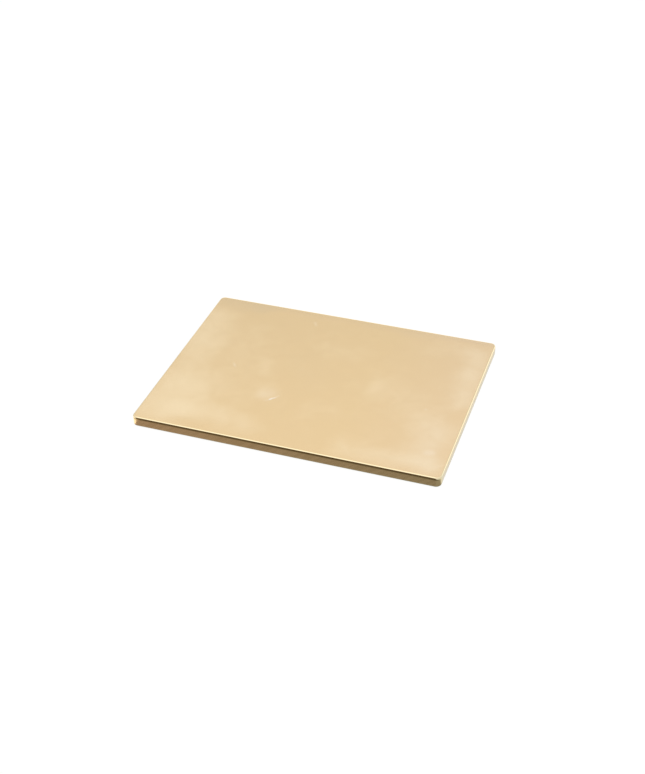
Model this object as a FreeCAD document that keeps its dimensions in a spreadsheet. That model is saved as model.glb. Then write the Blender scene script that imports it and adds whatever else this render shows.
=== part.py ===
"""Solid brass plate paperweight with a recessed felt pad under it.

The plate is a flat rectangle of brass plate with its four upright corners rounded and its
upper and lower outlines eased to a small radius. A shallow recess is milled into the
underside, leaving a rim all round. A thin felt pad is held in the recess by a sheet of
double-sided adhesive film and stands a little proud of the rim, so that brass never touches
the desk or the sheet of paper that is held down.

Frame: +Z is up, +X runs along the plate's long side, and the origin is the centre of the
pad's underside, on the surface that the paperweight stands on. Sizes are in millimetres.
"""

import FreeCAD, Part  # FreeCAD has to come first
import math
import os

import Sketcher

# ---------------------------------------------------------------- driving dimensions
SIZES = {
    # the plate
    "plate_length": (108.0, "along X"),
    "plate_width": (81.0, "along Y"),
    "plate_thickness": (4.0, "stock gauge of the brass plate"),
    "corner_radius": (2.0, "the four upright corners"),
    "edge_radius": (0.75, "rounding of the upper and lower outlines"),
    # the recess under it
    "rim_width": (5.0, "brass left between the plate's side and the recess"),
    "recess_radius": (3.0, "the recess's corners, left by a 6 mm end mill"),
    # what lies in the recess
    "pad_thickness": (0.8, "felt"),
    "film_thickness": (0.1, "adhesive film between the felt and the brass"),
    "pad_gap": (0.25, "clearance all round between the pad and the recess's wall"),
    "pad_proud": (0.2, "how far the felt stands out below the rim"),
}

# Sizes that follow from the ones above, as formulas of the sheet
DERIVED = {
    "recess_length": "plate_length - 2 * rim_width",
    "recess_width": "plate_width - 2 * rim_width",
    "recess_depth": "pad_thickness + film_thickness - pad_proud",
    "pad_length": "recess_length - 2 * pad_gap",
    "pad_width": "recess_width - 2 * pad_gap",
    "pad_radius": "recess_radius - pad_gap",
}


def make_sheet(doc):
    """The spreadsheet that every sub-part is bound to: name, value or formula, note."""
    sheet = doc.addObject("Spreadsheet::Sheet", "Sizes")
    rows = [(name, str(value), note) for name, (value, note) in SIZES.items()]
    rows += [(name, "=" + formula, "worked out") for name, formula in DERIVED.items()]
    for row, (name, content, note) in enumerate(rows, start=1):
        sheet.set(f"A{row}", name)
        sheet.set(f"B{row}", content)
        sheet.setAlias(f"B{row}", name)
        sheet.set(f"C{row}", note)
    doc.recompute()
    return sheet


# ---------------------------------------------------------------- sketches and bodies
def origin_plane(body, role):
    """One of the body's own three origin planes."""
    return next(f for f in body.Origin.OriginFeatures if f.Role == role)


def rounded_rectangle(body, name, length, width, radius):
    """A sketch on the body's XY plane: a centred rectangle with rounded corners.

    length, width and radius are aliases in the sheet.
    """
    sketch = body.newObject("Sketcher::SketchObject", name)
    sketch.AttachmentSupport = [(origin_plane(body, "XY_Plane"), "")]
    sketch.MapMode = "FlatFace"

    sheet = body.Document.Sizes
    half_x = getattr(sheet, length) / 2
    half_y = getattr(sheet, width) / 2
    r = getattr(sheet, radius)
    in_x = half_x - r
    in_y = half_y - r

    def side(x0, y0, x1, y1):
        start = FreeCAD.Vector(x0, y0, 0)
        end = FreeCAD.Vector(x1, y1, 0)
        return sketch.addGeometry(Part.LineSegment(start, end))

    def corner(x, y, quarter):
        circle = Part.Circle(FreeCAD.Vector(x, y, 0), FreeCAD.Vector(0, 0, 1), r)
        start = quarter * math.pi / 2
        return sketch.addGeometry(Part.ArcOfCircle(circle, start, start + math.pi / 2))

    # anticlockwise, from the side that faces -Y
    front = side(-in_x, -half_y, in_x, -half_y)
    front_right = corner(in_x, -in_y, 3)
    right = side(half_x, -in_y, half_x, in_y)
    back_right = corner(in_x, in_y, 0)
    back = side(in_x, half_y, -in_x, half_y)
    back_left = corner(-in_x, in_y, 1)
    left = side(-half_x, in_y, -half_x, -in_y)
    front_left = corner(-in_x, -in_y, 2)

    def constrain(*arguments):
        return sketch.addConstraint(Sketcher.Constraint(*arguments))

    loop = [front, front_right, right, back_right, back, back_left, left, front_left]
    START, END, CENTRE = 1, 2, 3
    for one, following in zip(loop, loop[1:] + loop[:1]):
        constrain("Tangent", one, END, following, START)
    for line in (front, back):
        constrain("Horizontal", line)
    for line in (right, left):
        constrain("Vertical", line)
    for arc in (back_right, back_left, front_left):
        constrain("Equal", front_right, arc)
    # opposite corners' centres lie opposite about the origin, which is point 1 of axis -1
    constrain("Symmetric", front_left, CENTRE, back_right, CENTRE, -1, 1)

    driven = {
        "Length": (constrain("DistanceX", left, START, right, START, 2 * half_x), length),
        "Width": (constrain("DistanceY", front, START, back, START, 2 * half_y), width),
        "Radius": (constrain("Radius", front_right, r), radius),
    }
    for label, (index, alias) in driven.items():
        sketch.renameConstraint(index, label)
        sketch.setExpression(f"Constraints.{label}", f"Sizes.{alias}")
    return sketch


def flat_sheet(doc, name, length, width, radius, thickness, height):
    """A body made by padding a rounded rectangle. height is a formula for its underside's Z."""
    body = doc.addObject("PartDesign::Body", name)
    body.Label = name
    outline = rounded_rectangle(body, name + "_outline", length, width, radius)
    slab = body.newObject("PartDesign::Pad", name + "_slab")
    slab.Profile = outline
    slab.setExpression("Length", f"Sizes.{thickness}")
    body.Tip = slab
    body.setExpression("Placement.Base.z", height)
    doc.recompute()
    return body, slab


# ---------------------------------------------------------------- the brass plate
def outline_edges(feature, thickness):
    """Names of the edges round the plate's upper and lower faces."""
    names = []
    for number, edge in enumerate(feature.Shape.Edges, start=1):
        box = edge.BoundBox
        level = box.ZLength < 1e-6 and min(abs(box.ZMin), abs(box.ZMax - thickness)) < 1e-6
        if level:
            names.append(f"Edge{number}")
    return names


def make_plate(doc):
    """The plate: slab, eased outlines, then the recess milled up into its underside."""
    body, slab = flat_sheet(
        doc,
        "brass_plate",
        "plate_length",
        "plate_width",
        "corner_radius",
        "plate_thickness",
        "Sizes.pad_thickness + Sizes.film_thickness - Sizes.recess_depth",
    )

    easing = body.newObject("PartDesign::Fillet", "eased_outlines")
    easing.Base = (slab, outline_edges(slab, doc.Sizes.plate_thickness))
    easing.setExpression("Radius", "Sizes.edge_radius")
    body.Tip = easing
    doc.recompute()

    recess_outline = rounded_rectangle(
        body, "recess_outline", "recess_length", "recess_width", "recess_radius"
    )
    recess = body.newObject("PartDesign::Pocket", "recess")
    recess.Profile = recess_outline
    recess.Reversed = True  # up into the slab, because the sketch lies on its underside
    recess.setExpression("Length", "Sizes.recess_depth")
    body.Tip = recess
    doc.recompute()
    if not recess.Shape.Volume < easing.Shape.Volume:
        raise RuntimeError("the recess removed no brass")
    return body


# ---------------------------------------------------------------- what lies in the recess
def make_felt_pad(doc):
    """Die-cut wool felt. Its underside is what the paperweight stands on."""
    outline = ("pad_length", "pad_width", "pad_radius")
    return flat_sheet(doc, "felt_pad", *outline, "pad_thickness", "0")[0]


def make_adhesive_film(doc):
    """Double-sided film, die-cut with the felt, between it and the recess's roof."""
    outline = ("pad_length", "pad_width", "pad_radius")
    height = "Sizes.pad_thickness"
    return flat_sheet(doc, "adhesive_film", *outline, "film_thickness", height)[0]


# ---------------------------------------------------------------- checks and output
def check(doc, bodies):
    """Stops if an object failed to compute, or a sub-part isn't one valid closed solid."""
    for thing in doc.Objects:
        if {"Invalid", "Error"} & set(thing.State):
            raise RuntimeError(f"{thing.Name} failed: {thing.State}")
    for body in bodies:
        shape = body.Shape
        if shape.isNull() or not shape.isValid() or len(shape.Solids) != 1:
            raise RuntimeError(f"{body.Label} is not one valid solid")


def main():
    doc = FreeCAD.newDocument("paperweight")
    make_sheet(doc)
    bodies = [make_plate(doc), make_adhesive_film(doc), make_felt_pad(doc)]
    doc.recompute()
    check(doc, bodies)
    os.makedirs("parts", exist_ok=True)
    for body in bodies:
        body.Shape.exportStep(os.path.join("parts", body.Label + ".step"))
        box = body.Shape.optimalBoundingBox(False)
        print(
            f"{body.Label}: {box.XLength:.2f} x {box.YLength:.2f} x {box.ZLength:.2f} mm, "
            f"Z {box.ZMin:.2f} to {box.ZMax:.2f}, {body.Shape.Volume / 1000:.3f} cm3"
        )


main()
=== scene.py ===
import math

import bpy
from mathutils import Matrix, Vector

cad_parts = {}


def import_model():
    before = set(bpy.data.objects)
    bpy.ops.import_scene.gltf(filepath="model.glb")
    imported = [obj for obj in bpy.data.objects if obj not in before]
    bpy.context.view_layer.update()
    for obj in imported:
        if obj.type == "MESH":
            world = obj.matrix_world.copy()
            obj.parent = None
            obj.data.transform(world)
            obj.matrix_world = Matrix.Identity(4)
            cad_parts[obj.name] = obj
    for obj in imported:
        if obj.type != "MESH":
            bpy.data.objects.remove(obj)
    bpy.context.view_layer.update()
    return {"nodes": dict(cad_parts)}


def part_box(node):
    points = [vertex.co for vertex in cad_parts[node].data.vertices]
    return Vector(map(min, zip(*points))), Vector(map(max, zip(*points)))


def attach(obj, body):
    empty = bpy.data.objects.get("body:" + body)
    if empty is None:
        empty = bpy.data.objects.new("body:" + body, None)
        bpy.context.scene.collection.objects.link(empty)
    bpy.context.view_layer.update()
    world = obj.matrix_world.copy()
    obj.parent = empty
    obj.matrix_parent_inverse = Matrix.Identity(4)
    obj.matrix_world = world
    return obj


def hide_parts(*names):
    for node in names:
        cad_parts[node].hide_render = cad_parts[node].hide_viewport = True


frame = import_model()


# ================================================================ the brass plate
# A rectangle sawn from 4 mm brass plate, its corners rounded and its outlines eased. The
# sides are ground on a belt, the top is rubbed down to a fine satin, and a shallow recess
# is milled into the underside for the felt.
MM = 0.001
plate_low, plate_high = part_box("brass_plate")
plate_size = plate_high - plate_low
plate_corner = 2.0 * MM
plate_edge = 0.75 * MM
recess_rim = 5.0 * MM
recess_corner = 3.0 * MM
recess_depth = 0.7 * MM
mill_nose = 0.15 * MM           # the rounding that the mill leaves at the foot of the wall
mill_run_out = 1.0 * MM         # how far the cutter's shape reaches below the underside


def add(tree, kind, inputs=None, **settings):
    """Adds a node. inputs maps a socket's name or number to a value or to another socket."""
    node = tree.nodes.new(kind)
    for name, value in settings.items():
        setattr(node, name, value)
    for key, value in (inputs or {}).items():
        if isinstance(value, bpy.types.NodeSocket):
            tree.links.new(value, node.inputs[key])
        else:
            node.inputs[key].default_value = value
    return node


def maths(tree, operation, *values, clamp=False):
    """The result of a Math node on numbers or sockets."""
    node = add(tree, "ShaderNodeMath", dict(enumerate(values)), operation=operation)
    node.use_clamp = clamp
    return node.outputs[0]


def vector_maths(tree, operation, *values, result="Vector"):
    """The result of a Vector Math node on vectors or sockets."""
    node = add(tree, "ShaderNodeVectorMath", dict(enumerate(values)), operation=operation)
    return node.outputs[result]


def ramp(tree, value, low, high, start=0.0, end=1.0, kind="LINEAR"):
    """value taken from the range low to high to the range start to end, and held there."""
    settings = {"Value": value, 1: low, 2: high, 3: start, 4: end}
    return add(tree, "ShaderNodeMapRange", settings, interpolation_type=kind).outputs[0]


def split(tree, vector):
    """The three parts of a vector."""
    return list(add(tree, "ShaderNodeSeparateXYZ", {0: vector}).outputs)


def new_tree(name, kind, inputs=(), outputs=()):
    """An empty node group with sockets given as (name, type) or (name, type, value)."""
    tree = bpy.data.node_groups.new(name, kind)
    for direction, sockets in (("INPUT", inputs), ("OUTPUT", outputs)):
        for socket_name, socket_type, *value in sockets:
            made = tree.interface.new_socket(
                socket_name, in_out=direction, socket_type="NodeSocket" + socket_type
            )
            if value:
                made.default_value = value[0]
    given = tree.nodes.new("NodeGroupInput").outputs
    return tree, given, tree.nodes.new("NodeGroupOutput").inputs


def make_rounded_slab():
    """A slab with rounded upright corners and eased outlines, as a rule on a box's grid.

    The grid is spread so that its outer cells fill the corner zone. A square cell there
    becomes a quarter disc by drawing each point in along its own ray, first in plan for the
    upright corners, and then in section for the eased outlines.
    """
    tree, given, made = new_tree(
        "rounded_slab",
        "GeometryNodeTree",
        [
            ("Size", "Vector"),
            ("Corner radius", "Float"),
            ("Edge radius", "Float"),
            ("Corner cells", "Int", 16),
            ("Edge cells", "Int", 6),
            ("Middle cells", "Vector"),
        ],
        [("Mesh", "Geometry")],
    )
    middle = split(tree, given["Middle cells"])
    border = [given["Corner cells"], given["Corner cells"], given["Edge cells"]]
    total = [maths(tree, "MULTIPLY_ADD", b, 2.0, m) for m, b in zip(middle, border)]
    counts = {f"Vertices {a}": maths(tree, "ADD", t, 1.0) for a, t in zip("XYZ", total)}
    box = add(tree, "GeometryNodeMeshCube", {"Size": (2, 2, 2), **counts})

    place = split(tree, add(tree, "GeometryNodeInputPosition").outputs[0])
    half = split(tree, vector_maths(tree, "MULTIPLY", given["Size"], (0.5, 0.5, 0.5)))
    zone = [given["Corner radius"], given["Corner radius"], given["Edge radius"]]
    core, outer, side = [], [], []
    for axis in range(3):
        share = maths(tree, "DIVIDE", middle[axis], total[axis])
        away = maths(tree, "ABSOLUTE", place[axis])
        straight = maths(tree, "SUBTRACT", half[axis], zone[axis])
        core.append(ramp(tree, away, 0.0, share, 0.0, straight))
        outer.append(ramp(tree, away, share, 1.0))
        side.append(maths(tree, "SIGN", place[axis]))

    def longer_and_length(a, b):
        square = maths(tree, "MULTIPLY_ADD", a, a, maths(tree, "MULTIPLY", b, b))
        return maths(tree, "MAXIMUM", a, b), maths(tree, "SQRT", square)

    # in plan
    reach, length = longer_and_length(outer[0], outer[1])
    radius = maths(tree, "MULTIPLY", reach, given["Corner radius"])
    # in section
    inner_radius = maths(tree, "SUBTRACT", given["Corner radius"], given["Edge radius"])
    beyond = maths(tree, "SUBTRACT", radius, inner_radius)
    over = maths(tree, "DIVIDE", beyond, given["Edge radius"], clamp=True)
    reach_2, length_2 = longer_and_length(over, outer[2])
    shrink = maths(tree, "MULTIPLY", maths(tree, "DIVIDE", reach_2, length_2), given["Edge radius"])
    out = maths(tree, "MULTIPLY_ADD", over, shrink, maths(tree, "MINIMUM", radius, inner_radius))
    up = maths(tree, "MULTIPLY_ADD", outer[2], shrink, core[2])

    shaped = []
    for axis in range(2):
        share = maths(tree, "DIVIDE", outer[axis], length)
        distance = maths(tree, "MULTIPLY_ADD", share, out, core[axis])
        shaped.append(maths(tree, "MULTIPLY", distance, side[axis]))
    shaped.append(maths(tree, "MULTIPLY", up, side[2]))
    where = add(tree, "ShaderNodeCombineXYZ", dict(enumerate(shaped))).outputs[0]
    slab = add(tree, "GeometryNodeSetPosition", {"Geometry": box.outputs["Mesh"], "Position": where})
    tree.links.new(slab.outputs[0], made["Mesh"])
    return tree


rounded_slab = make_rounded_slab()


def finish_tree(tree, mesh, crease, material, output):
    """Ends a geometry tree: smooth shading but for creases, real geometry, and its material."""
    angle = add(tree, "GeometryNodeInputMeshEdgeAngle").outputs["Unsigned Angle"]
    sharp = maths(tree, "GREATER_THAN", angle, math.radians(crease))
    smooth = add(tree, "GeometryNodeSetShadeSmooth", {"Geometry": mesh})
    edges = {"Geometry": smooth.outputs[0], "Selection": sharp, "Shade Smooth": False}
    creased = add(tree, "GeometryNodeSetShadeSmooth", edges, domain="EDGE")
    whole = add(tree, "GeometryNodeRealizeInstances", {0: creased.outputs[0]})
    painted = add(tree, "GeometryNodeSetMaterial", {"Geometry": whole.outputs[0], "Material": material})
    tree.links.new(painted.outputs[0], output)


def make_plate_tree():
    """The plate: a slab, worn and faintly wavy on top, with the recess cut out from below."""
    tree, given, made = new_tree(
        "plate_maker",
        "GeometryNodeTree",
        [
            ("Size", "Vector"),
            ("Centre", "Vector"),
            ("Corner radius", "Float"),
            ("Edge radius", "Float"),
            ("Roll off width", "Float"),
            ("Roll off", "Float"),
            ("Waviness", "Float"),
            ("Wave length", "Float"),
            ("Recess size", "Vector"),
            ("Recess centre", "Vector"),
            ("Recess corner", "Float"),
            ("Recess edge", "Float"),
            ("Material", "Material"),
        ],
        [("Mesh", "Geometry")],
    )
    blank = add(
        tree,
        "GeometryNodeGroup",
        {
            "Size": given["Size"],
            "Corner radius": given["Corner radius"],
            "Edge radius": given["Edge radius"],
            "Middle cells": (80, 60, 10),
        },
        node_tree=rounded_slab,
    )

    # rubbing down draws the top in a little at its edges, and leaves it faintly wavy
    place = add(tree, "GeometryNodeInputPosition").outputs[0]
    here = split(tree, place)
    half = split(tree, vector_maths(tree, "MULTIPLY", given["Size"], (0.5, 0.5, 0.5)))
    from_side = [maths(tree, "SUBTRACT", h, maths(tree, "ABSOLUTE", p)) for h, p in zip(half, here)]
    inset = maths(tree, "MINIMUM", from_side[0], from_side[1])
    near = ramp(tree, inset, 0.0, given["Roll off width"], 1.0, 0.0)
    drop = maths(tree, "MULTIPLY", maths(tree, "MULTIPLY", near, near), given["Roll off"])
    scale = maths(tree, "DIVIDE", 1.0, given["Wave length"])
    swells = {"Vector": place, "Scale": scale, "Detail": 1.0, "Roughness": 0.4}
    wave = maths(tree, "SUBTRACT", add(tree, "ShaderNodeTexNoise", swells).outputs[0], 0.5)
    swell = maths(tree, "MULTIPLY_ADD", wave, given["Waviness"], maths(tree, "MULTIPLY", drop, -1.0))
    on_top = ramp(tree, maths(tree, "DIVIDE", here[2], half[2]), 0.6, 1.0, kind="SMOOTHSTEP")
    lift = add(tree, "ShaderNodeCombineXYZ", {2: maths(tree, "MULTIPLY", swell, on_top)}).outputs[0]
    offset = vector_maths(tree, "ADD", lift, given["Centre"])
    plate = add(tree, "GeometryNodeSetPosition", {"Geometry": blank.outputs[0], "Offset": offset})

    cutter = add(
        tree,
        "GeometryNodeGroup",
        {
            "Size": given["Recess size"],
            "Corner radius": given["Recess corner"],
            "Edge radius": given["Recess edge"],
            "Corner cells": 12,
            "Edge cells": 2,
            "Middle cells": (1, 1, 1),
        },
        node_tree=rounded_slab,
    )
    sunk = {"Geometry": cutter.outputs[0], "Offset": given["Recess centre"]}
    sunk = add(tree, "GeometryNodeSetPosition", sunk)
    solids = {"Mesh 1": plate.outputs[0], "Mesh 2": sunk.outputs[0]}
    milled = add(
        tree, "GeometryNodeMeshBoolean", solids, operation="DIFFERENCE", solver="MANIFOLD"
    )
    finish_tree(tree, milled.outputs[0], 40, given["Material"], made["Mesh"])
    return tree


def make_piece(name, tree, values):
    """A mesh object made by a geometry tree with these input values, and then left plain."""
    maker = bpy.data.objects.new(name + "_maker", bpy.data.meshes.new(name + "_blank"))
    bpy.context.scene.collection.objects.link(maker)
    modifier = maker.modifiers.new("maker", "NODES")
    modifier.node_group = tree
    for item in tree.interface.items_tree:
        if item.in_out == "INPUT" and item.name in values:
            modifier[item.identifier] = values[item.name]
    result = maker.evaluated_get(bpy.context.evaluated_depsgraph_get())
    mesh = bpy.data.meshes.new_from_object(result)
    mesh.name = name
    maker.modifiers.remove(modifier)
    bpy.data.objects.remove(maker)
    piece = bpy.data.objects.new(name, mesh)
    bpy.context.scene.collection.objects.link(piece)
    return piece


def new_material(name):
    """A material with its tree, its Principled BSDF and the place on the piece in millimetres."""
    material = bpy.data.materials.new(name)
    material.use_nodes = True
    tree = material.node_tree
    tree.nodes.clear()
    shader = tree.nodes.new("ShaderNodeBsdfPrincipled")
    output = tree.nodes.new("ShaderNodeOutputMaterial")
    tree.links.new(shader.outputs[0], output.inputs["Surface"])
    metres = add(tree, "ShaderNodeTexCoord").outputs["Object"]
    place = vector_maths(tree, "MULTIPLY", metres, Vector((1, 1, 1)) / MM)
    return material, tree, shader, place


def mix(tree, share, first, second):
    """A number between first and second."""
    return add(tree, "ShaderNodeMix", {0: share, 2: first, 3: second}).outputs[0]


def blend(tree, share, first, second):
    """A colour between first and second."""
    node = add(tree, "ShaderNodeMix", {0: share}, data_type="RGBA")
    for socket, value in ((node.inputs[6], first), (node.inputs[7], second)):
        if isinstance(value, bpy.types.NodeSocket):
            tree.links.new(value, socket)
        else:
            socket.default_value = (*value, 1)
    return node.outputs[2]


def place_group(tree, group, inputs, output):
    """Places a shader node group in a material, and returns one of its outputs."""
    return add(tree, "ShaderNodeGroup", inputs, node_tree=group).outputs[output]


def make_mottle():
    """Soft clouds, as a mask from 0 to 1. Size is how wide one cloud is, in millimetres."""
    tree, given, made = new_tree(
        "mottle",
        "ShaderNodeTree",
        [
            ("Place", "Vector"),
            ("Size", "Float", 10.0),
            ("Detail", "Float", 3.0),
            ("Swirl", "Float", 0.0),
            ("Low", "Float", 0.3),
            ("High", "Float", 0.7),
        ],
        [("Mask", "Float"), ("Shift", "Vector")],
    )
    settings = {
        "Vector": given["Place"],
        "Scale": maths(tree, "DIVIDE", 1.0, given["Size"]),
        "Detail": given["Detail"],
        "Distortion": given["Swirl"],
    }
    clouds = add(tree, "ShaderNodeTexNoise", settings)
    tree.links.new(ramp(tree, clouds.outputs[0], given["Low"], given["High"]), made["Mask"])
    shift = vector_maths(tree, "SUBTRACT", clouds.outputs[1], (0.5, 0.5, 0.5))
    tree.links.new(shift, made["Shift"])
    return tree


def make_strands():
    """Long thin streaks that lie one way, as a mask from 0 to 1. Sizes are in millimetres."""
    tree, given, made = new_tree(
        "strands",
        "ShaderNodeTree",
        [
            ("Place", "Vector"),
            ("Turn", "Float", 0.0),
            ("Length", "Float", 5.0),
            ("Width", "Float", 0.1),
            ("Low", "Float", 0.6),
            ("High", "Float", 0.75),
        ],
        [("Mask", "Float")],
    )
    turned = {"Vector": given["Place"], "Angle": given["Turn"]}
    turned = add(tree, "ShaderNodeVectorRotate", turned, rotation_type="Z_AXIS").outputs[0]
    stretch = {
        0: maths(tree, "DIVIDE", 1.0, given["Length"]),
        1: maths(tree, "DIVIDE", 1.0, given["Width"]),
        2: 1.0,
    }
    stretch = add(tree, "ShaderNodeCombineXYZ", stretch).outputs[0]
    drawn_out = vector_maths(tree, "MULTIPLY", turned, stretch)
    streaks = add(tree, "ShaderNodeTexNoise", {"Vector": drawn_out, "Scale": 1.0, "Detail": 2.0})
    tree.links.new(ramp(tree, streaks.outputs[0], given["Low"], given["High"]), made["Mask"])
    return tree


mottle = make_mottle()
strands = make_strands()


def stroke(tree, place, start, end, radius, soft=1.0):
    """A mask in plan that is 1 along a line from start to end, and fades out at radius from it."""
    start = Vector((*start, 0))
    run = Vector((*end, 0)) - start
    away = vector_maths(tree, "SUBTRACT", place, start)
    share = vector_maths(tree, "DOT_PRODUCT", away, run / run.length_squared, result="Value")
    nearest = vector_maths(tree, "SCALE", run)
    tree.links.new(maths(tree, "ADD", share, 0.0, clamp=True), nearest.node.inputs["Scale"])
    gap = vector_maths(tree, "DISTANCE", away, nearest, result="Value")
    return ramp(tree, gap, radius * (1 - soft), radius, 1.0, 0.0, "SMOOTHSTEP")


def strokes(tree, place, marks, soft=1.0):
    """Several strokes added up. Each mark is its start, end, radius and strength."""
    total = 0.0
    for start, end, radius, strength in marks:
        mask = stroke(tree, place, start, end, radius, soft)
        total = maths(tree, "MULTIPLY_ADD", mask, strength, total)
    return total


# Marks on the top, from its centre: start, end and reach in millimetres, and strength. First
# where hands have rubbed it dull and pale, then where it has tarnished, then nicks and smudges.
rub_marks = [
    ((-51, 26), (-50, 4), 15.0, 0.65),
    ((-46, -17), (-47, -31), 20.0, 0.75),
    ((-34, 14), (-30, -28), 20.0, 0.22),
    ((-38, -31), (-16, -34), 10.0, 0.45),
    ((-21, 4), (-21.2, -1), 6.0, 0.3),
    ((-16.5, -10.5), (-14.5, -13.5), 7.5, 0.36),
    ((2, -18), (8, -17), 9.0, 0.2),
    ((20, 3.5), (20.5, 0), 5.5, 0.25),
    ((22, 2), (38, -10), 14.0, 0.25),
    ((-3, 18), (6, 17), 9.0, 0.25),
    ((34, 31), (40, 30), 9.0, 0.25),
    ((50, 29), (51, 3), 10.0, 0.55),
    ((46, -15), (47, -30), 12.0, 0.45),
    ((20, -34), (48, -35), 9.0, 0.5),
]
tarnish_marks = [
    ((-54, 41), (-38, 40), 12.0, 0.75),
    ((-36, 41), (53, 40), 8.0, 0.55),
    ((-10, 9), (-2, -2), 14.0, 0.25),
    ((-24, 27), (-18, 24), 12.0, 0.15),
    ((-30, -17), (-34, -16), 6.0, 0.15),
    ((14, -17), (20, -18), 9.0, 0.15),
]
nicks = [
    ((-12.6, -17.1), (-11.2, -15.8), 0.65, 0.8),
    ((-11.0, -15.3), (-10.2, -14.1), 0.5, 0.25),
    ((-13.8, -18.2), (-12.6, -17.3), 0.5, 0.2),
    ((-32.6, -0.6), (-31.4, -2.2), 0.6, 0.24),
    ((-13.6, 33.6), (-12.6, 31.8), 0.7, 0.2),
    ((-8.2, 3.2), (-7.8, 3.5), 0.3, 0.3),
    ((39.6, -6.4), (40.1, -6.1), 0.35, 0.3),
]
smudges = [
    ((-15.4, -14.8), (-13.6, -14.0), 4.6, 0.14),
    ((46.4, -28.9), (47.8, -28.5), 2.4, 0.2),
    ((45.5, -20), (47, -31), 8.0, 0.06),
]

brass, tree, shader, place = new_material("satin_brass")
flat = vector_maths(tree, "MULTIPLY", place, (1, 1, 0))
x, y, z = split(tree, place)
half_x = plate_size.x / 2 / MM

# the dull bloom that handling leaves, mostly along the short sides and the front, its outlines
# drawn out of shape by a swirl
swirl_reach = 11.0
swirl = place_group(tree, mottle, {"Place": flat, "Size": 15.0, "Detail": 2.0}, "Shift")
wandering = vector_maths(tree, "MULTIPLY_ADD", swirl, (swirl_reach, swirl_reach, 0), flat)
wisps = place_group(tree, mottle, {"Place": flat, "Size": 7.0, "Swirl": 0.8}, "Mask")
wisp_share = 0.22
wisps = maths(tree, "MULTIPLY_ADD", wisps, wisp_share, -wisp_share / 2)
bloom = maths(tree, "ADD", strokes(tree, wandering, rub_marks), wisps)
bloom = ramp(tree, bloom, -0.1, 1.2, kind="SMOOTHSTEP")
tarnish = ramp(tree, strokes(tree, wandering, tarnish_marks), 0.0, 1.1, kind="SMOOTHSTEP")

# nicks with ragged outlines, and the smudges by them
jitter_reach = 1.2
jitter = place_group(tree, mottle, {"Place": flat, "Size": 1.2}, "Shift")
jittered = vector_maths(tree, "MULTIPLY_ADD", jitter, (jitter_reach, jitter_reach, 0), flat)
nicked = strokes(tree, jittered, nicks)
smudged = strokes(tree, flat, smudges)

# hairlines, laid every way by years of wiping
hairlines = 0.0
for turn, length, width in ((0.35, 9.0, 0.09), (1.3, 6.0, 0.08), (2.5, 12.0, 0.1)):
    settings = {"Place": flat, "Turn": turn, "Length": length, "Width": width, "Low": 0.62}
    hairlines = maths(tree, "ADD", hairlines, place_group(tree, strands, settings, "Mask"))

# the sides, ground at a slant on a belt, and rubbed bright again round the corners
normal = split(tree, add(tree, "ShaderNodeTexCoord").outputs["Normal"])
upright = maths(tree, "ABSOLUTE", normal[2])
ground = ramp(tree, upright, 0.03, 0.2, 1.0, 0.0, "SMOOTHSTEP")
eased = ramp(tree, upright, 0.93, 0.995, 1.0, 0.0)
past_top = ramp(tree, upright, 0.82, 0.95, 1.0, 0.0)
# a band round the eased edge: burnished, and also painted paler as a painted highlight, which whitens
# the edge highlight and sets where it falls
burnish_and_highlight = maths(tree, "MULTIPLY", past_top, ramp(tree, upright, 0.35, 0.6))
corner_turn = maths(tree, "ABSOLUTE", maths(tree, "MULTIPLY", normal[0], normal[1]))
rubbed_corner = ramp(tree, corner_turn, 0.1, 0.35, kind="SMOOTHSTEP")

# and a painted dark reflection along the long sides, just below the eased edge: the sides are darkened
# there to stand in for the dark reflection
edge_foot = (plate_high.z - plate_edge) / MM
dark_line_width = 0.45
dark_line_top = 0.1
below_edge = ramp(tree, z, edge_foot - dark_line_width, edge_foot - dark_line_top)
long_side = ramp(tree, maths(tree, "ABSOLUTE", normal[1]), 0.6, 0.9)
painted_dark_reflection = maths(tree, "MULTIPLY", below_edge, long_side)

# the belt's marks, fine ones over broad ones
round_the_side = add(tree, "ShaderNodeCombineXYZ", {0: maths(tree, "ADD", x, y), 1: z}).outputs[0]
slant = math.radians(-38)
belt = {"Place": round_the_side, "Turn": slant}
fine = {**belt, "Length": 3.0, "Width": 0.16, "Low": 0.35, "High": 0.65}
fine = place_group(tree, strands, fine, "Mask")
broad = {**belt, "Length": 12.0, "Width": 0.9, "Low": 0.4, "High": 0.6}
broad = place_group(tree, strands, broad, "Mask")
broad_share = 0.65
grinding = mix(tree, broad_share, fine, broad)

# the colours of the top, a little greyer towards the right, and of the sides
towards_right = ramp(tree, x, 0.3 * half_x, 0.85 * half_x)
clean = blend(tree, towards_right, (0.855, 0.637, 0.36), (0.85, 0.637, 0.385))
rubbed = blend(tree, towards_right, (0.965, 0.775, 0.5), (0.95, 0.78, 0.54))
tarnished = blend(tree, towards_right, (0.81, 0.62, 0.37), (0.8, 0.625, 0.43))
top_colour = blend(tree, tarnish, blend(tree, bloom, clean, rubbed), tarnished)
# the eased edge's band: partly burnished brass, partly painted highlight
top_colour = blend(tree, burnish_and_highlight, top_colour, (0.93, 0.79, 0.51))
marked = maths(tree, "ADD", nicked, smudged, clamp=True)
top_colour = blend(tree, marked, top_colour, (1.0, 0.9, 0.75))
side_colour = blend(tree, grinding, (0.725, 0.475, 0.243), (0.855, 0.575, 0.307))
side_colour = blend(tree, rubbed_corner, side_colour, (0.9, 0.63, 0.34))
# the painted dark reflection: the long sides darkened just below the eased edge
side_colour = blend(tree, painted_dark_reflection, side_colour, (0.32, 0.22, 0.09))
tree.links.new(blend(tree, ground, top_colour, side_colour), shader.inputs["Base Color"])

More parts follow.
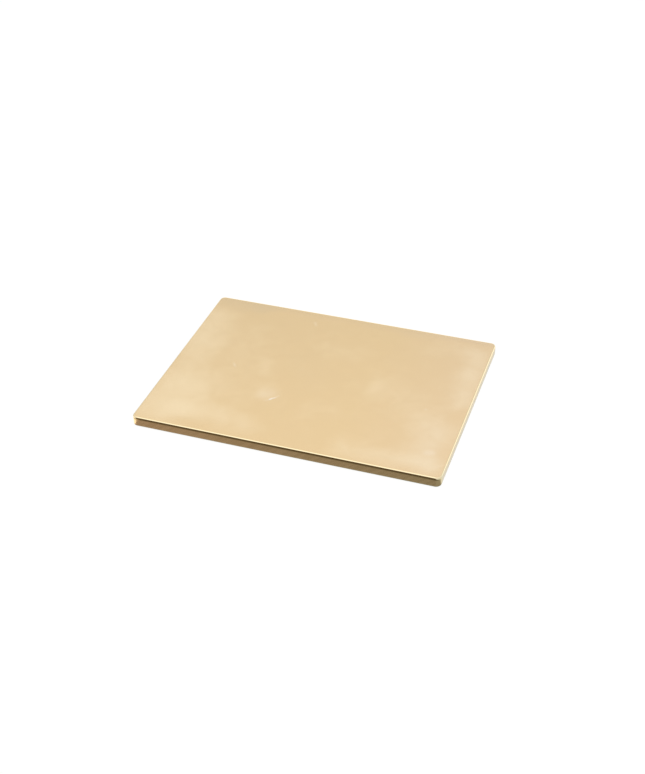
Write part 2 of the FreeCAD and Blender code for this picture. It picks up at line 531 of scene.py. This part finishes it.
# the top is satin, duller where it has bloomed, and the eased edge is polished by handling
shader.inputs["Metallic"].default_value = 1.0
satin = maths(tree, "MULTIPLY_ADD", bloom, 0.05, 0.2)
satin = maths(tree, "MULTIPLY_ADD", hairlines, 0.01, satin)
satin = mix(tree, eased, satin, 0.1)
ground_roughness = ramp(tree, grinding, 0.1, 0.9, 0.22, 0.34)
ground_roughness = mix(tree, rubbed_corner, ground_roughness, 0.12)
tree.links.new(mix(tree, ground, satin, ground_roughness), shader.inputs["Roughness"])

belt_relief = maths(tree, "MULTIPLY", maths(tree, "MULTIPLY", grinding, ground), 0.7)
wiping_relief = maths(tree, "MULTIPLY", hairlines, -0.02)
relief = maths(tree, "SUBTRACT", maths(tree, "ADD", belt_relief, wiping_relief), nicked)
relief_depth = 0.02 * MM
bump = add(tree, "ShaderNodeBump", {"Height": relief, "Distance": relief_depth, "Strength": 1.0})
tree.links.new(bump.outputs[0], shader.inputs["Normal"])

recess_size = Vector((
    plate_size.x - 2 * recess_rim,
    plate_size.y - 2 * recess_rim,
    recess_depth + mill_run_out,
))
recess_roof = plate_low.z + recess_depth
plate = make_piece(
    "brass_plate_body",
    make_plate_tree(),
    {
        "Size": plate_size,
        "Centre": (plate_low + plate_high) / 2,
        "Corner radius": plate_corner,
        "Edge radius": plate_edge,
        "Roll off width": 4.0 * MM,
        "Roll off": 0.02 * MM,
        "Waviness": 0.03 * MM,
        "Wave length": 22.0 * MM,
        "Recess size": recess_size,
        "Recess centre": Vector((0, 0, recess_roof - recess_size.z / 2)),
        "Recess corner": recess_corner,
        "Recess edge": mill_nose,
        "Material": brass,
    },
)
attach(plate, "root")
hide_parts("brass_plate")


# ================================================================ the adhesive film
# Clear double-sided film, die-cut with the felt. It has wetted the brass in patches, and
# looks milky where air is left under it.
film, tree, shader, place = new_material("adhesive_film")
contact = place_group(tree, mottle, {"Place": place, "Size": 4.0, "Low": 0.4, "High": 0.6}, "Mask")
specks = place_group(tree, mottle, {"Place": place, "Size": 0.5, "Low": 0.6, "High": 0.7}, "Mask")
tint = blend(tree, contact, (0.84, 0.82, 0.75), (0.62, 0.56, 0.42))
tree.links.new(blend(tree, specks, tint, (0.92, 0.91, 0.87)), shader.inputs["Base Color"])
tree.links.new(mix(tree, contact, 0.5, 0.25), shader.inputs["Roughness"])
bump = add(tree, "ShaderNodeBump", {"Height": contact, "Distance": 0.02 * MM, "Strength": 0.6})
tree.links.new(bump.outputs[0], shader.inputs["Normal"])
film_mesh = frame["nodes"]["adhesive_film"].data
film_mesh.materials.clear()
film_mesh.materials.append(film)


# ================================================================ the felt pad
# Charcoal wool felt, pressed 0.8 mm thick and die-cut with rounded corners. It is stuck up
# into the recess, and its face and cut sides are slightly hairy and uneven.
pad_low, pad_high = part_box("felt_pad")
pad_size = pad_high - pad_low
pad_gap = (plate_size.x - 2 * recess_rim - pad_size.x) / 2
pad_corner = recess_corner - pad_gap
pad_edge = 0.12 * MM


def make_felt_tree():
    """The pad: a slab whose faces and sides sink in here and there, never standing out."""
    tree, given, made = new_tree(
        "felt_maker",
        "GeometryNodeTree",
        [
            ("Size", "Vector"),
            ("Centre", "Vector"),
            ("Corner radius", "Float"),
            ("Edge radius", "Float"),
            ("Clump size", "Float"),
            ("Unevenness", "Float"),
            ("Material", "Material"),
        ],
        [("Mesh", "Geometry")],
    )
    blank = add(
        tree,
        "GeometryNodeGroup",
        {
            "Size": given["Size"],
            "Corner radius": given["Corner radius"],
            "Edge radius": given["Edge radius"],
            "Corner cells": 5,
            "Edge cells": 2,
            "Middle cells": (150, 108, 2),
        },
        node_tree=rounded_slab,
    )
    place = add(tree, "GeometryNodeInputPosition").outputs[0]
    normal = add(tree, "GeometryNodeInputNormal").outputs[0]
    scale = maths(tree, "DIVIDE", 1.0, given["Clump size"])
    clumps = {"Vector": place, "Scale": scale, "Detail": 3.0, "Roughness": 0.7}
    clumps = ramp(tree, add(tree, "ShaderNodeTexNoise", clumps).outputs[0], 0.35, 0.75)
    depth = maths(tree, "MULTIPLY", maths(tree, "MULTIPLY", clumps, given["Unevenness"]), -1.0)
    sink = vector_maths(tree, "SCALE", normal)
    tree.links.new(depth, sink.node.inputs["Scale"])
    offset = vector_maths(tree, "ADD", sink, given["Centre"])
    pressed = add(tree, "GeometryNodeSetPosition", {"Geometry": blank.outputs[0], "Offset": offset})
    finish_tree(tree, pressed.outputs[0], 60, given["Material"], made["Mesh"])
    return tree


# charcoal wool in clumps, with paler fibres lying every way over them
felt, tree, shader, place = new_material("charcoal_felt")
clumps = place_group(tree, mottle, {"Place": place, "Size": 1.6, "Detail": 4.0}, "Mask")
fibres = 0.0
for turn, length in ((0.2, 1.6), (1.1, 2.2), (1.9, 1.8), (2.7, 2.4)):
    settings = {"Place": place, "Turn": turn, "Length": length, "Width": 0.09, "Low": 0.55}
    fibres = maths(tree, "MAXIMUM", fibres, place_group(tree, strands, settings, "Mask"))
wool = blend(tree, clumps, (0.03, 0.029, 0.028), (0.075, 0.072, 0.068))
tree.links.new(blend(tree, fibres, wool, (0.22, 0.212, 0.2)), shader.inputs["Base Color"])
shader.inputs["Roughness"].default_value = 0.95
shader.inputs["Sheen Weight"].default_value = 0.25
shader.inputs["Sheen Roughness"].default_value = 0.6
nap = maths(tree, "MULTIPLY_ADD", clumps, 0.6, fibres)
nap_depth = 0.08 * MM
bump = add(tree, "ShaderNodeBump", {"Height": nap, "Distance": nap_depth, "Strength": 1.0})
tree.links.new(bump.outputs[0], shader.inputs["Normal"])

pad = make_piece(
    "felt_pad_cloth",
    make_felt_tree(),
    {
        "Size": pad_size,
        "Centre": (pad_low + pad_high) / 2,
        "Corner radius": pad_corner,
        "Edge radius": pad_edge,
        "Clump size": 2.2 * MM,
        "Unevenness": 0.06 * MM,
        "Material": felt,
    },
)
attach(pad, "root")
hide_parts("felt_pad")


# ================================================================ the studio
# A white table in a bright tent. Low in front the tent is open on a dark room, and the table
# there is in shade. The camera sees both as plain white, and the brass reflects them as lit.
table_reach = 5.0
table_level = -0.02 * MM
table_corners = [(-1, -1), (1, -1), (1, 1), (-1, 1)]
table_mesh = bpy.data.meshes.new("table")
table_mesh.from_pydata(
    [(a * table_reach, b * table_reach, table_level) for a, b in table_corners],
    [],
    [(0, 1, 2, 3)],
)
table = bpy.data.objects.new("table", table_mesh)
bpy.context.scene.collection.objects.link(table)

paper = bpy.data.materials.new("white_table")
paper.use_nodes = True
tree = paper.node_tree
tree.nodes.clear()
spot = split(tree, add(tree, "ShaderNodeTexCoord").outputs["Object"])


def past(axis, start, end):
    """0 before start millimetres beyond the plate's high side on an axis, and 1 past end."""
    edge = plate_high[axis]
    return ramp(tree, spot[axis], edge + start * MM, edge + end * MM)


def before(axis, start, end, place=None):
    """0 before start millimetres beyond the plate's low side on an axis, and 1 past end."""
    edge = plate_low[axis]
    return ramp(tree, place or spot[axis], edge - end * MM, edge - start * MM, 1.0, 0.0)


def both(first, second):
    """Where two masks overlap."""
    return maths(tree, "MULTIPLY", first, second)


# bright where the tent lights it: behind, back on the right, and by the front left corner
light = blend(tree, past(1, 8, 14), (0.72, 0.72, 0.7), (1.3, 1.3, 1.2))
light = blend(tree, past(0, 0, 0.3), light, (0.86, 1.03, 1.1))
slope = 1.2
slant_from = plate_low.y - slope * plate_high.x
slanted = maths(tree, "MULTIPLY_ADD", spot[0], -slope, spot[1])
slanted = ramp(tree, slanted, slant_from, slant_from + 10 * MM)
light = blend(tree, both(past(0, 2, 5), slanted), light, (1.2, 1.18, 1.12))
light = blend(tree, both(before(0, 0, 0.3), before(1, -6, -4)), light, (1.3, 1.32, 1.25))

# grey in front, in shade that opens out to the left, and nearly dark further off
along = ramp(tree, spot[0], plate_low.x, plate_high.x)
shade = blend(tree, along, (0.409, 0.383, 0.357), (0.302, 0.332, 0.311))
shade = blend(tree, before(1, 6, 10), shade, (0.11, 0.075, 0.035))
spread_from = plate_low.y - 5 * MM
spread = ramp(tree, spot[1], spread_from - table_reach, spread_from, table_reach, 0.0)
left_of = before(0, 0.1, 0.4, maths(tree, "ADD", spot[0], spread))
unshaded = maths(tree, "MAXIMUM", left_of, past(0, 3, 6))
shaded = both(before(1, -3, -1.6), maths(tree, "SUBTRACT", 1.0, unshaded))
light = blend(tree, shaded, light, shade)

# the camera sees plain white, with a trace of the plate's own shadow
lit = add(tree, "ShaderNodeEmission", {"Color": light})
glowing = add(tree, "ShaderNodeEmission", {"Strength": 0.97})
faint = add(tree, "ShaderNodeBsdfDiffuse", {"Color": (0.05, 0.05, 0.05, 1)})
shown = add(tree, "ShaderNodeAddShader", {0: glowing.outputs[0], 1: faint.outputs[0]})
seen = add(tree, "ShaderNodeLightPath").outputs["Is Camera Ray"]
mixed = add(tree, "ShaderNodeMixShader", {0: seen, 1: lit.outputs[0], 2: shown.outputs[0]})
add(tree, "ShaderNodeOutputMaterial", {0: mixed.outputs[0]})
table_mesh.materials.append(paper)

world = bpy.data.worlds.new("tent")
bpy.context.scene.world = world
world.use_nodes = True
tree = world.node_tree
tree.nodes.clear()
towards = vector_maths(tree, "NORMALIZE", add(tree, "ShaderNodeTexCoord").outputs["Generated"])
height = split(tree, towards)[2]

# the tent's light by height, as the sine of the elevation and the brightness there
tent_bands = [
    (-0.2, 0.85),
    (0.3, 0.85),
    (0.46, 0.78),
    (0.54, 0.82),
    (0.57, 0.93),
    (0.6, 0.99),
    (0.63, 1.03),
    (0.68, 0.95),
    (0.85, 0.93),
    (1.0, 1.0),
]
lowest = tent_bands[0][0]
tent_gain = 2.0                 # every colour of the tent is given over this gain
bands = add(tree, "ShaderNodeValToRGB", {0: ramp(tree, height, lowest, 1.0)})
stops = bands.color_ramp.elements
for level, brightness in tent_bands[1:-1]:
    stops.new((level - lowest) / (1.0 - lowest))
for stop, (level, brightness) in zip(stops, tent_bands):
    held = brightness / tent_gain
    stop.color = (held, held, held, 1)


def glow(centre, inner, outer):
    """1 within inner degrees of a direction, and 0 beyond outer."""
    middle = Vector(centre).normalized()
    facing = vector_maths(tree, "DOT_PRODUCT", towards, middle, result="Value")
    edges = [math.cos(math.radians(angle)) for angle in (outer, inner)]
    return ramp(tree, facing, *edges, kind="SMOOTHSTEP")


# patches of the tent with a lamp behind them, and the dark room, by direction
lamp_overhead = glow((-0.28, -0.47, 0.84), 8, 24)
lamp_back = glow((-0.28, 0.95, 0.1), 8, 20)
lamp_back_right = glow((0.6, 0.78, -0.1), 6, 16)
dark_room = glow((-0.27, -0.95, -0.05), 27, 33)
tent_light = blend(tree, lamp_overhead, bands.outputs[0], (0.67, 0.67, 0.65))
tent_light = blend(tree, lamp_back, tent_light, (0.74, 0.79, 0.76))
tent_light = blend(tree, lamp_back_right, tent_light, (0.85, 0.86, 0.86))
tent_light = blend(tree, dark_room, tent_light, (0.045, 0.033, 0.018))
tent = add(tree, "ShaderNodeBackground", {"Color": tent_light, "Strength": tent_gain})
white = add(tree, "ShaderNodeBackground", {"Color": (1, 1, 1, 1), "Strength": 1.0})
seen = add(tree, "ShaderNodeLightPath").outputs["Is Camera Ray"]
mixed = add(tree, "ShaderNodeMixShader", {0: seen, 1: tent.outputs[0], 2: white.outputs[0]})
add(tree, "ShaderNodeOutputWorld", {0: mixed.outputs[0]})

# the camera looks down at the front side from its right, and is rolled by a hair
azimuth = math.radians(19.27)
elevation = math.radians(35.75)
roll = math.radians(-0.856)
distance = 4.195 * plate_size.x
aside = Vector((0.0062, 0.0017)) * plate_size.x
back = Vector((
    math.sin(azimuth) * math.cos(elevation),
    -math.cos(azimuth) * math.cos(elevation),
    math.sin(elevation),
))
level_right = Vector((0, 0, 1)).cross(back).normalized()
level_up = back.cross(level_right)
right = math.cos(roll) * level_right + math.sin(roll) * level_up
up = math.cos(roll) * level_up - math.sin(roll) * level_right
lens = bpy.data.cameras.new("camera")
lens.lens = 59.66
lens.sensor_width = 36.0
lens.clip_start = 0.01
lens.clip_end = 20.0
camera = bpy.data.objects.new("camera", lens)
bpy.context.scene.collection.objects.link(camera)
turn = Matrix((right, up, back)).transposed()
stand = Vector((0, 0, plate_low.z)) + back * distance + right * aside.x + up * aside.y
camera.matrix_world = Matrix.Translation(stand) @ turn.to_4x4()
bpy.context.scene.camera = camera
bpy.context.scene.view_settings.view_transform = "Standard"
